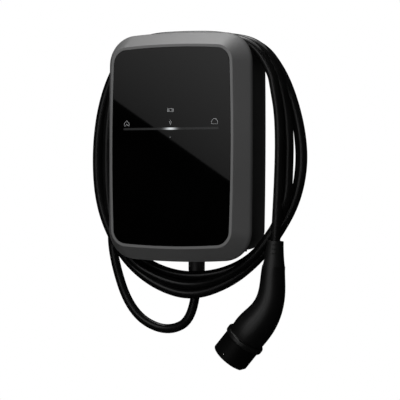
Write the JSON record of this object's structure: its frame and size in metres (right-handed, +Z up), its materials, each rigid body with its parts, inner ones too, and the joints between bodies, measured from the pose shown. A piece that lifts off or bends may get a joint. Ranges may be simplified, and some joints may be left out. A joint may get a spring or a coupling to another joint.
{
  "type": "wall charging box for cars",
  "caption": "Wall-hung car charging box with a dark glass front in a sloped grey frame, a black rear housing wound with its fixed cable, and a bent charging plug.",
  "frame": {"origin": "centre of the wall bracket's four screw holes, on the wall plane", "axes": "+Z up the wall, +Y into the wall, -Y out of the front glass, +X to the right seen from the front"},
  "size_m": [0.4225, 0.14, 0.6041],
  "materials": {
    "frame_paint": "satin",
    "panel_glass": "polished",
    "housing_black": "fine grain",
    "seal_rubber": "matt",
    "cover_grey": "matt",
    "zinc_steel": "zinc plated",
    "board_green": "solder mask",
    "block_grey": "matt",
    "block_black": "matt",
    "shield_tin": "tinned",
    "loop_copper": "bare copper",
    "light_clear": "clear",
    "cable_black": "satin",
    "plug_black": "fine grain",
    "contact_silver": "silver plated"
  },
  "bodies": {
    "root": {"front_frame": "frame_paint", "front_glass": "panel_glass", "rear_housing": "housing_black", "bottom_plate": "housing_black", "wall_bracket": "zinc_steel", "bracket_screws": "zinc_steel", "supply_grommet": "seal_rubber", "cover_gasket": "seal_rubber", "inner_cover": "cover_grey", "cover_screws": "zinc_steel", "frame_screws": "zinc_steel", "power_board": "board_green", "board_screws": "zinc_steel", "supply_terminals": "block_grey", "output_terminals": "block_grey", "relays": "block_black", "fault_sensor": "block_black", "energy_meter": "block_grey", "supply_module": "block_black", "capacitors": "block_black", "display_board": "board_green", "display_screws": "zinc_steel", "radio_module": "shield_tin", "card_antenna": "loop_copper", "status_lights": "light_clear", "light_guide": "light_clear", "gland_body": "housing_black", "gland_locknut": "housing_black", "gland_seal": "seal_rubber", "gland_nut": "housing_black", "cable_inner_end": "cable_black", "cable_lead": "cable_black", "cable_coil": "cable_black", "cable_tail": "cable_black", "plug_boot": "seal_rubber", "plug_grip": "plug_black", "plug_collar": "plug_black", "plug_nose": "plug_black", "contact_carrier": "plug_black", "power_contacts": "contact_silver", "signal_contacts": "contact_silver"}
  },
  "joints": []
}
